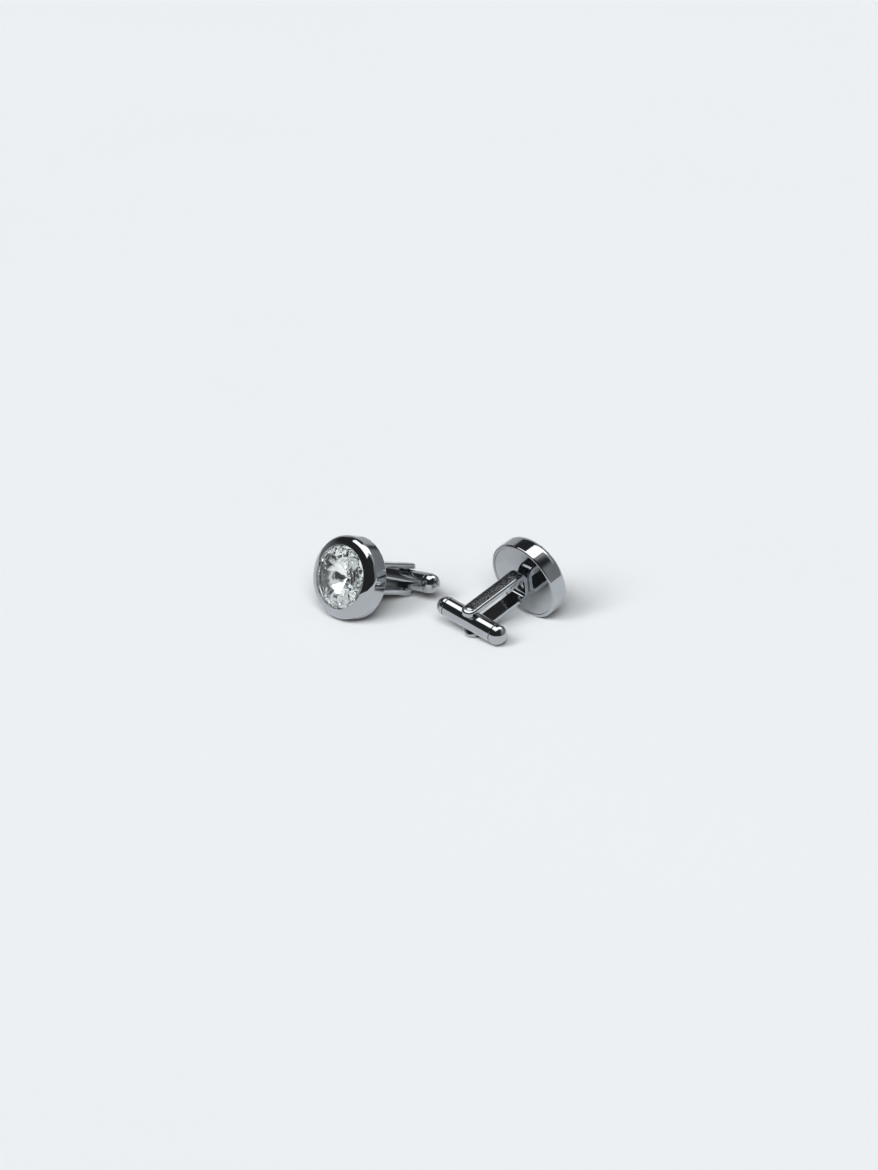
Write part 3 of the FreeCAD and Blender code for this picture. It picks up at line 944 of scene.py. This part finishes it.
# Patches of the studio: middle and half width in azimuth, lowest and highest elevation, and soft edge. The
# first four are what polished metal shows, with their glow over that of the flags between them.
PALE_BACK = (0, 20, 0, 30, 12)
PALE_BACK_GLOW = 0.55
HIGH_RIGHT = (62, 32, 38, 62, 12)
HIGH_RIGHT_GLOW = 0.45
GREY_RIGHT = (80, 36, 0, 32, 14)
GREY_RIGHT_GLOW = 0.27
LOW_LEFT = (-60, 25, 0, 8, 20)
LOW_LEFT_GLOW = 0.2
FLAG_GLOW = 0.035

# The other three are what the crystals gather, with a bright ceiling that starts between two elevations.
NEAR_VIEWER = (180, 55, 0, 52, 16)
NEAR_VIEWER_GLOW = 0.38
DIM_LEFT = (-85, 35, 0, 55, 20)
DIM_LEFT_LOSS = 0.06
VIEWER = (196, 14, 0, 33, 8)
VIEWER_LOSS = 0.94
ROOM_GLOW = 0.24
CEILING = (58, 70)
CEILING_GLOW = 0.7

# Half domes that carry these patches.
STUDIO_COLOUR = (0.94, 0.97, 1, 1)
METAL_DOME_RADIUS = 12
CRYSTAL_DOME_RADIUS = 11
DOME_COLUMNS = 144
DOME_LEVELS = 36

VIEW_ELEVATION = math.radians(21.99)
VIEW_DISTANCE = 650 * MM
VIEW_TARGET = Vector((0.012, 15.705, 0)) * MM
PIXELS_PER_MM = 5.165
PHOTO_HEIGHT = 1170
SENSOR_WIDTH = 36
NEAREST_SEEN = 0.01
FARTHEST_SEEN = 50


def pale_floor():
    material, tree, shader = new_material("pale_table")
    place = add_node(tree, "ShaderNodeTexCoord").outputs["Object"]
    cloud_colour(tree, shader, place, TABLE_CLOUDS, TABLE, SOFT_DETAIL)
    shader.inputs["Roughness"].default_value = TABLE_ROUGHNESS
    shader.inputs["Specular IOR Level"].default_value = TABLE_SPECULAR
    bpy.ops.mesh.primitive_plane_add(size=FLOOR_SIZE)
    floor = bpy.context.object
    floor.name = "floor"
    floor.data.materials.append(material)


def pale_world():
    """Even light for the table, and a plain backdrop wherever the world itself is seen or mirrored."""
    world = bpy.data.worlds.new("studio")
    scene.world = world
    world.use_nodes = True
    tree = world.node_tree
    tree.nodes.clear()
    out = add_node(tree, "ShaderNodeOutputWorld")
    path = add_node(tree, "ShaderNodeLightPath")
    shown = add_node(tree, "ShaderNodeBackground", Color=BACKDROP_COLOUR, Strength=1)
    fill = add_node(tree, "ShaderNodeBackground", Color=EVEN_COLOUR, Strength=EVEN_SHARE)
    mix = add_node(tree, "ShaderNodeMixShader")
    seen = path.outputs["Is Camera Ray"]
    for ray in ("Is Glossy Ray", "Is Transmission Ray"):
        seen = combine(tree, "MAXIMUM", seen, path.outputs[ray])
    tree.links.new(seen, mix.inputs[0])
    tree.links.new(fill.outputs[0], mix.inputs[1])
    tree.links.new(shown.outputs[0], mix.inputs[2])
    tree.links.new(mix.outputs[0], out.inputs["Surface"])


def direction(azimuth, elevation):
    """Unit vector towards an azimuth and elevation."""
    azimuth = math.radians(azimuth)
    elevation = math.radians(elevation)
    level = math.cos(elevation)
    return Vector((math.sin(azimuth) * level, math.cos(azimuth) * level, math.sin(elevation)))


def key_light(name, azimuth, elevation, share):
    """Wide soft light that gives the table its share of a full level of light, and isn't mirrored."""
    data = bpy.data.lights.new(name, "SUN")
    data.angle = KEY_WIDTH
    data.energy = share * math.pi / math.sin(math.radians(elevation))
    lamp = bpy.data.objects.new(name, data)
    scene.collection.objects.link(lamp)
    lamp.rotation_euler = direction(azimuth, elevation).to_track_quat("Z", "Y").to_euler()
    lamp.visible_glossy = False
    lamp.visible_transmission = False


def overhead_lamp(name, start, end, left, right):
    """Level lamp that is mirrored but doesn't light the table."""
    length = (end - start) * LAMP_HEIGHT
    breadth = (right - left) * LAMP_HEIGHT
    data = bpy.data.lights.new(name, "AREA")
    data.shape = "RECTANGLE"
    data.size = breadth
    data.size_y = length
    data.energy = LAMP_GLOW * math.pi * length * breadth
    lamp = bpy.data.objects.new(name, data)
    scene.collection.objects.link(lamp)
    lamp.visible_diffuse = False
    along = direction(LAMP_HEADING, 0) * (start + end) / 2
    across = direction(LAMP_HEADING + 90, 0) * (left + right) / 2
    lamp.location = (along + across + Vector((0, 0, 1))) * LAMP_HEIGHT
    lamp.rotation_euler.z = -math.radians(LAMP_HEADING)


def ramp(value, start, end):
    """Soft step from 0 at start to 1 at end."""
    share = min(max((value - start) / (end - start), 0), 1)
    return share * share * (3 - 2 * share)


def round_patch(azimuth, elevation, middle, width, low, high, soft):
    """How far a direction lies in a soft-edged patch of the studio, from 0 to 1."""
    off = abs((azimuth - middle + 180) % 360 - 180)
    within = ramp(off, width + soft, width)
    return within * ramp(elevation, low - soft, low) * ramp(elevation, high + soft, high)


def metal_tone(azimuth, elevation):
    """What polished metal shows of the studio: dark flags, a pale back and grey walls to its right."""
    back = PALE_BACK_GLOW * round_patch(azimuth, elevation, *PALE_BACK)
    aside = HIGH_RIGHT_GLOW * round_patch(azimuth, elevation, *HIGH_RIGHT)
    right = GREY_RIGHT_GLOW * round_patch(azimuth, elevation, *GREY_RIGHT)
    left = LOW_LEFT_GLOW * round_patch(azimuth, elevation, *LOW_LEFT)
    return FLAG_GLOW + back + aside + right + left


def crystal_tone(azimuth, elevation):
    """What the crystals gather: a room with a bright ceiling, pale round the dark viewer and dim at left."""
    near = NEAR_VIEWER_GLOW * round_patch(azimuth, elevation, *NEAR_VIEWER)
    left = DIM_LEFT_LOSS * round_patch(azimuth, elevation, *DIM_LEFT)
    viewer = VIEWER_LOSS * round_patch(azimuth, elevation, *VIEWER)
    return (ROOM_GLOW + near - left) * (1 - viewer) + CEILING_GLOW * ramp(elevation, *CEILING)


def glow_material(name):
    """Light as bright at each point as the mesh's tone there."""
    material = bpy.data.materials.new(name)
    material.use_nodes = True
    tree = material.node_tree
    tree.nodes.clear()
    out = add_node(tree, "ShaderNodeOutputMaterial")
    tone = add_node(tree, "ShaderNodeAttribute", attribute_name="tone")
    glow = add_node(tree, "ShaderNodeEmission", Color=STUDIO_COLOUR)
    tree.links.new(tone.outputs["Fac"], glow.inputs["Strength"])
    tree.links.new(glow.outputs[0], out.inputs["Surface"])
    return material


def surroundings(name, tone_at, radius):
    """Half dome of flags and cards, as bright in each direction as tone_at says."""
    points = []
    tones = []
    for level in range(DOME_LEVELS + 1):
        elevation = 90 * level / DOME_LEVELS
        for column in range(DOME_COLUMNS):
            azimuth = 360 * column / DOME_COLUMNS - 180
            points.append(direction(azimuth, elevation) * radius)
            tones.append(tone_at(azimuth, elevation))
    rings = [range(start, start + DOME_COLUMNS) for start in range(0, len(points), DOME_COLUMNS)]
    faces = []
    for low, high in zip(rings, rings[1:]):
        faces += band(low, high)
    mesh = bpy.data.meshes.new(name)
    mesh.from_pydata(points, [], faces)
    mesh.attributes.new("tone", "FLOAT", "POINT").data.foreach_set("value", tones)
    mesh.materials.append(glow_material(name))
    half_dome = bpy.data.objects.new(name, mesh)
    scene.collection.objects.link(half_dome)
    half_dome.visible_camera = False
    half_dome.visible_diffuse = False
    half_dome.visible_shadow = False
    return half_dome


def place_camera():
    """Camera at the photo's angle, with the photo's scale at its target."""
    data = bpy.data.cameras.new("camera")
    camera = bpy.data.objects.new("camera", data)
    scene.collection.objects.link(camera)
    scene.camera = camera
    back = Vector((0, -math.cos(VIEW_ELEVATION), math.sin(VIEW_ELEVATION)))
    camera.location = VIEW_TARGET + back * VIEW_DISTANCE
    camera.rotation_euler = back.to_track_quat("Z", "Y").to_euler()
    data.sensor_width = SENSOR_WIDTH
    data.lens = PIXELS_PER_MM * VIEW_DISTANCE / MM * SENSOR_WIDTH / PHOTO_HEIGHT
    data.clip_start = NEAREST_SEEN
    data.clip_end = FARTHEST_SEEN


pale_floor()
pale_world()
surroundings("round_metal", metal_tone, METAL_DOME_RADIUS).visible_transmission = False
surroundings("round_crystals", crystal_tone, CRYSTAL_DOME_RADIUS).visible_glossy = False
key_light("front_light", *FRONT_LIGHT, FRONT_SHARE)
key_light("left_light", *LEFT_LIGHT, LEFT_SHARE)
overhead_lamp("near_lamp", *NEAR_LAMP)
overhead_lamp("far_lamp", *FAR_LAMP)
place_camera()
